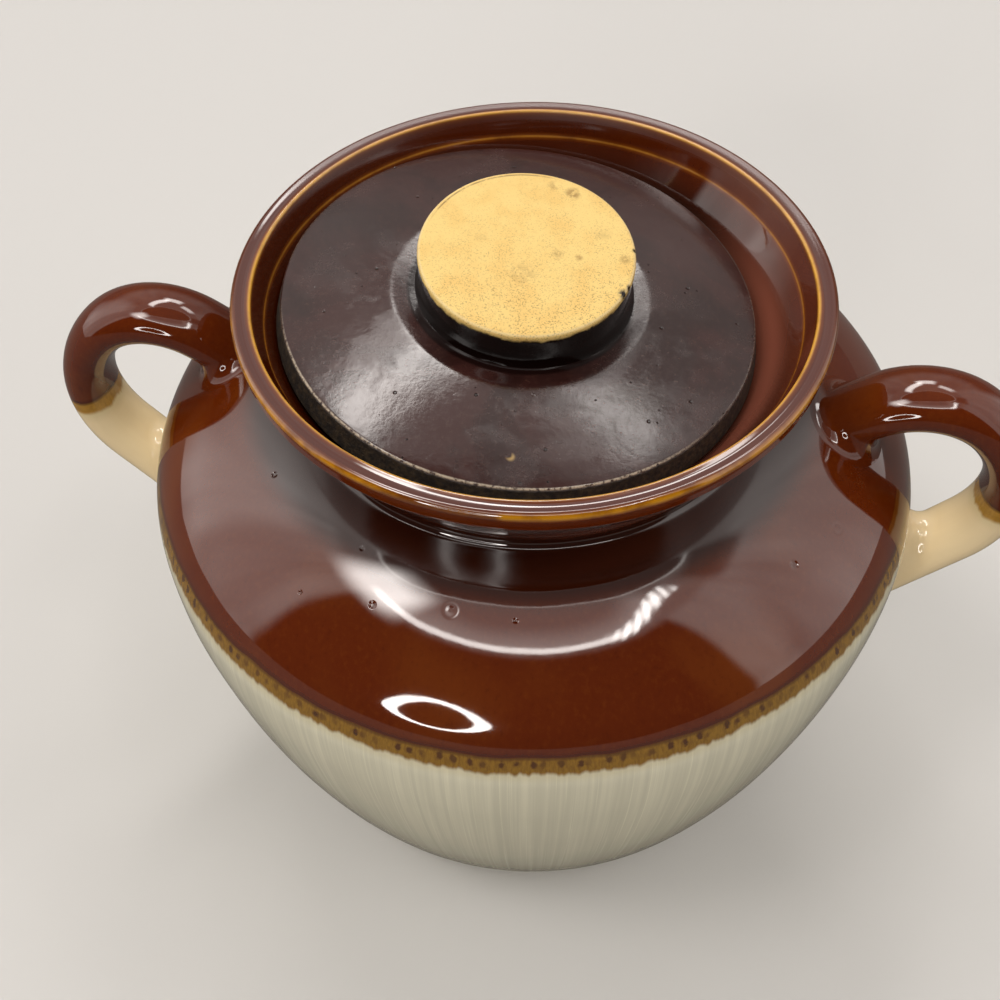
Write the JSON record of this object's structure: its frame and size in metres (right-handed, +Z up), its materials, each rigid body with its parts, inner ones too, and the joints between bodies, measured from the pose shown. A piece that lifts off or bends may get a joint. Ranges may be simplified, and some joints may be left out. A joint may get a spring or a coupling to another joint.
{
  "type": "bean pot",
  "caption": "Squat stoneware bean pot with a narrow neck, a flared collar, ear handles and a loose inset lid that sits in a coved seat and lifts off by a flat-topped knob.",
  "frame": {"origin": "centre of the foot, on the surface the pot stands on", "axes": "+Z up along the axis of the jar, +X towards the right handle, front along -Y"},
  "size_m": [0.2556, 0.1996, 0.1871],
  "materials": {
    "jar_glaze": "gloss",
    "handle_glaze": "gloss",
    "lid_glaze": "gloss",
    "knob_glaze": "satin"
  },
  "bodies": {
    "pot": {"pot_body": "jar_glaze", "left_handle": "handle_glaze", "right_handle": "handle_glaze"},
    "lid": {"lid": "lid_glaze", "lid_knob": "knob_glaze"}
  },
  "joints": [
    {"name": "lid_lift", "type": "slide", "parent": "pot", "child": "lid", "axis": [0, 0, 1], "range_m": [0, 0.08]}
  ]
}
